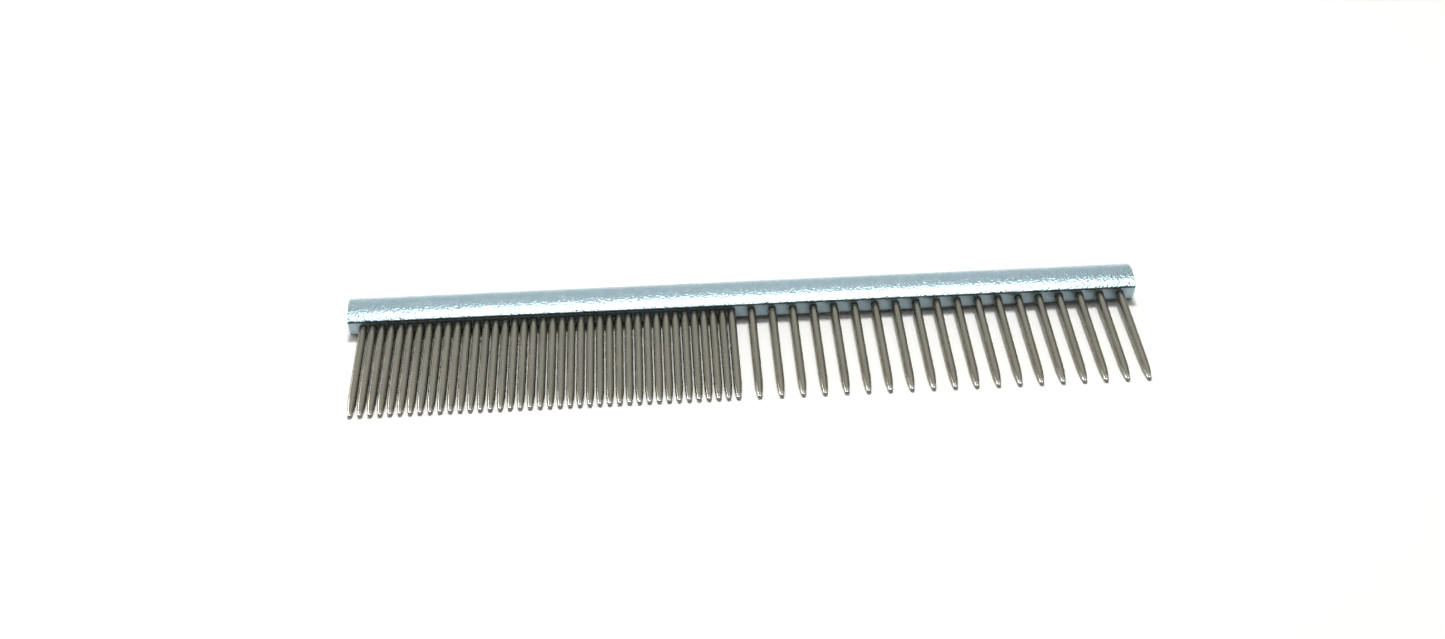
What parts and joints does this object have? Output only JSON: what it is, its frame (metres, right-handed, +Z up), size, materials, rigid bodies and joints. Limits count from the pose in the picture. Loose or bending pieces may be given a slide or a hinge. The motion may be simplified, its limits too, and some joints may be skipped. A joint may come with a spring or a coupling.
{
  "type": "grooming comb",
  "caption": "Straight grooming comb: a solid rounded metal spine bar with long round steel pins in its flat face, closely spaced on one half and widely spaced on the other.",
  "frame": {"origin": "middle of the footprint on the table, at table height, with the comb lying on the flank of its spine and the points of its teeth", "axes": "+X along the spine, from the close teeth to the wide teeth; +Y from the points of the teeth to the crown of the spine; +Z up from the table"},
  "size_m": [0.19, 0.0378, 0.007],
  "materials": {
    "spine_plate": "satin plated bar with a fine pebbled, tumbled surface",
    "tooth_steel": "drawn and polished round pins, faint turning lines on the taper"
  },
  "bodies": {
    "root": {"spine": "spine_plate", "fine_tooth_01": "tooth_steel", "fine_tooth_02": "tooth_steel", "fine_tooth_03": "tooth_steel", "fine_tooth_04": "tooth_steel", "fine_tooth_05": "tooth_steel", "fine_tooth_06": "tooth_steel", "fine_tooth_07": "tooth_steel", "fine_tooth_08": "tooth_steel", "fine_tooth_09": "tooth_steel", "fine_tooth_10": "tooth_steel", "fine_tooth_11": "tooth_steel", "fine_tooth_12": "tooth_steel", "fine_tooth_13": "tooth_steel", "fine_tooth_14": "tooth_steel", "fine_tooth_15": "tooth_steel", "fine_tooth_16": "tooth_steel", "fine_tooth_17": "tooth_steel", "fine_tooth_18": "tooth_steel", "fine_tooth_19": "tooth_steel", "fine_tooth_20": "tooth_steel", "fine_tooth_21": "tooth_steel", "fine_tooth_22": "tooth_steel", "fine_tooth_23": "tooth_steel", "fine_tooth_24": "tooth_steel", "fine_tooth_25": "tooth_steel", "fine_tooth_26": "tooth_steel", "fine_tooth_27": "tooth_steel", "fine_tooth_28": "tooth_steel", "fine_tooth_29": "tooth_steel", "fine_tooth_30": "tooth_steel", "fine_tooth_31": "tooth_steel", "fine_tooth_32": "tooth_steel", "fine_tooth_33": "tooth_steel", "fine_tooth_34": "tooth_steel", "fine_tooth_35": "tooth_steel", "fine_tooth_36": "tooth_steel", "fine_tooth_37": "tooth_steel", "fine_tooth_38": "tooth_steel", "fine_tooth_39": "tooth_steel", "fine_tooth_40": "tooth_steel", "coarse_tooth_01": "tooth_steel", "coarse_tooth_02": "tooth_steel", "coarse_tooth_03": "tooth_steel", "coarse_tooth_04": "tooth_steel", "coarse_tooth_05": "tooth_steel", "coarse_tooth_06": "tooth_steel", "coarse_tooth_07": "tooth_steel", "coarse_tooth_08": "tooth_steel", "coarse_tooth_09": "tooth_steel", "coarse_tooth_10": "tooth_steel", "coarse_tooth_11": "tooth_steel", "coarse_tooth_12": "tooth_steel", "coarse_tooth_13": "tooth_steel", "coarse_tooth_14": "tooth_steel", "coarse_tooth_15": "tooth_steel", "coarse_tooth_16": "tooth_steel", "coarse_tooth_17": "tooth_steel", "coarse_tooth_18": "tooth_steel", "coarse_tooth_19": "tooth_steel"}
  },
  "joints": []
}
